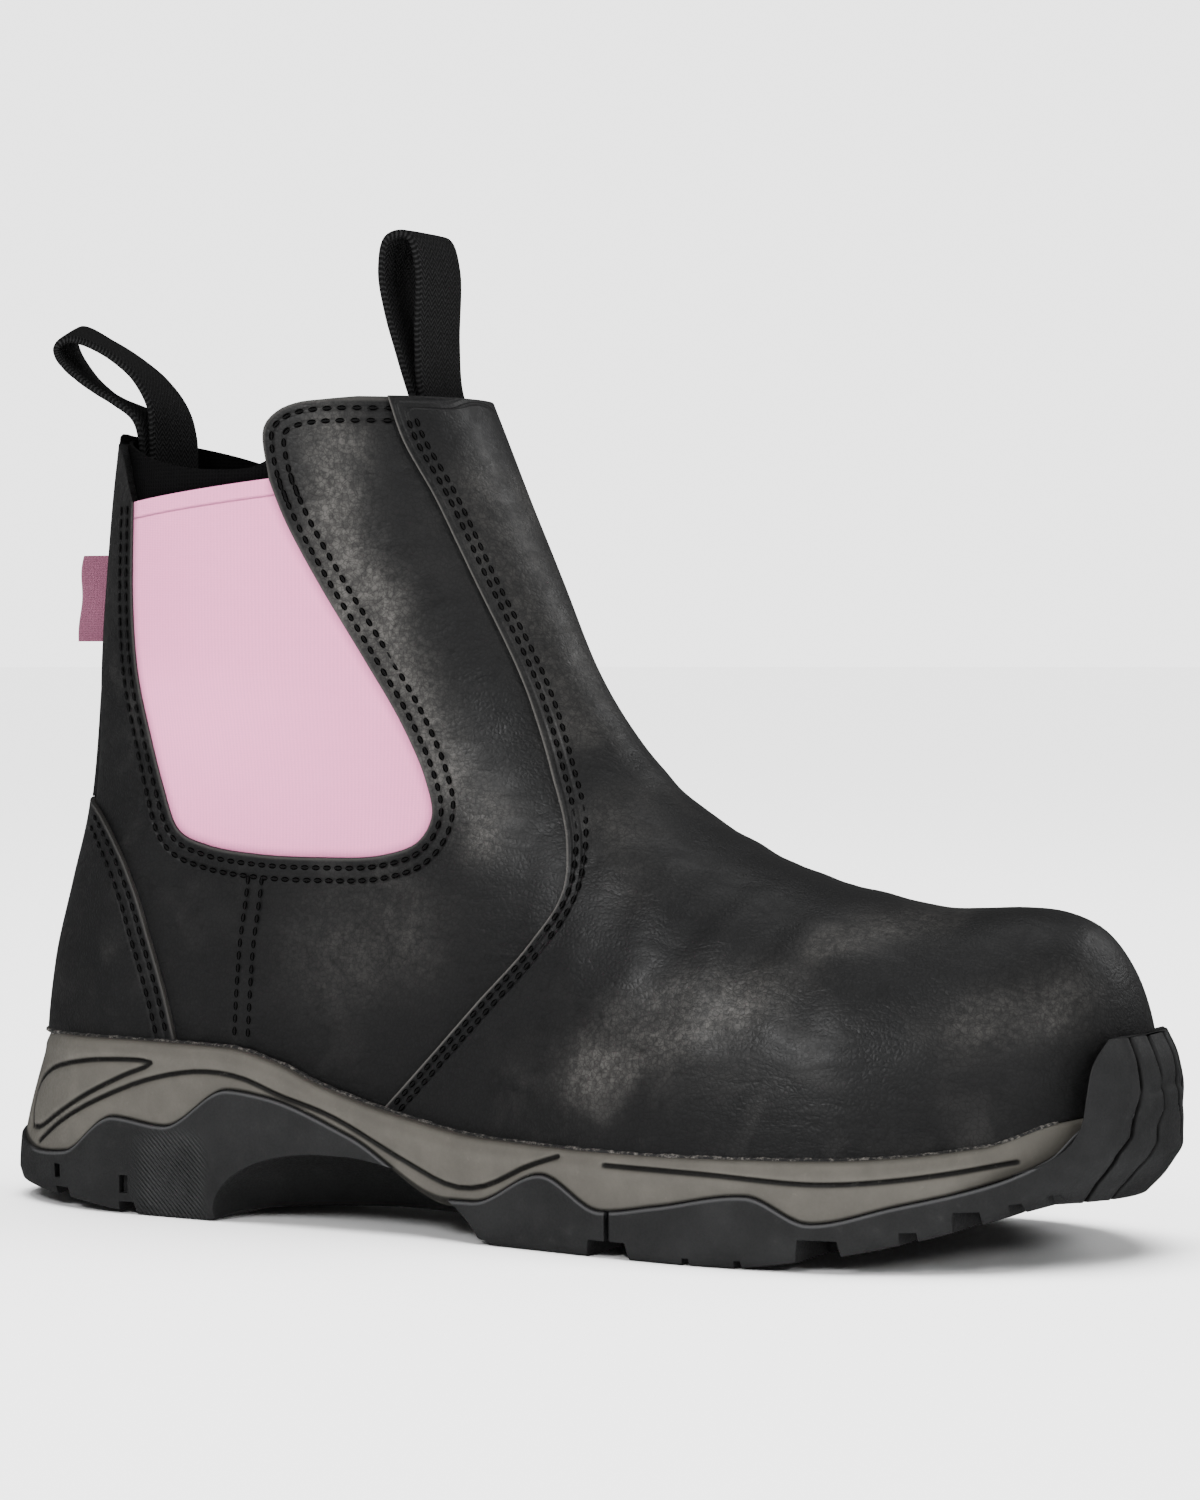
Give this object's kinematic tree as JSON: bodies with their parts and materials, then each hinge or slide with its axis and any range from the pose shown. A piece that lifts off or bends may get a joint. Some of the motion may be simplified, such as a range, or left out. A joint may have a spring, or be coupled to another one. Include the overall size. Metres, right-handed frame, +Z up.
{
  "type": "pull-on work boot",
  "caption": "Right pull-on work boot with elastic side gores, webbing pull loops, two-layer sole and rubber toe bumper.",
  "frame": {"origin": "ground level under the middle of the outsole's bounding box", "axes": "+X towards the toe, +Y towards the inner side of the foot, +Z up the shaft"},
  "size_m": [0.2912, 0.1044, 0.2302],
  "materials": {
    "outsole_rubber": "matt dark grey rubber",
    "midsole_foam": "matt brown-grey moulded foam rubber",
    "insole_cloth": "dark knitted cover",
    "upper_leather": "oiled black leather, burnished on the folds",
    "vamp_leather": "oiled black leather, pebbled",
    "counter_leather": "oiled black leather",
    "strip_leather": "black leather strip",
    "gore_elastic": "pale pink ribbed elastic",
    "webbing": "black herringbone webbing",
    "tab_cloth": "pink woven tab"
  },
  "bodies": {
    "root": {"outsole": "outsole_rubber", "midsole": "midsole_foam", "insole": "insole_cloth", "upper": "upper_leather", "vamp_overlay": "vamp_leather", "heel_counter": "counter_leather", "back_strip": "strip_leather", "gore_outer": "gore_elastic", "gore_inner": "gore_elastic", "pull_loop_front": "webbing", "pull_loop_back": "webbing", "heel_tab": "tab_cloth"}
  },
  "joints": []
}
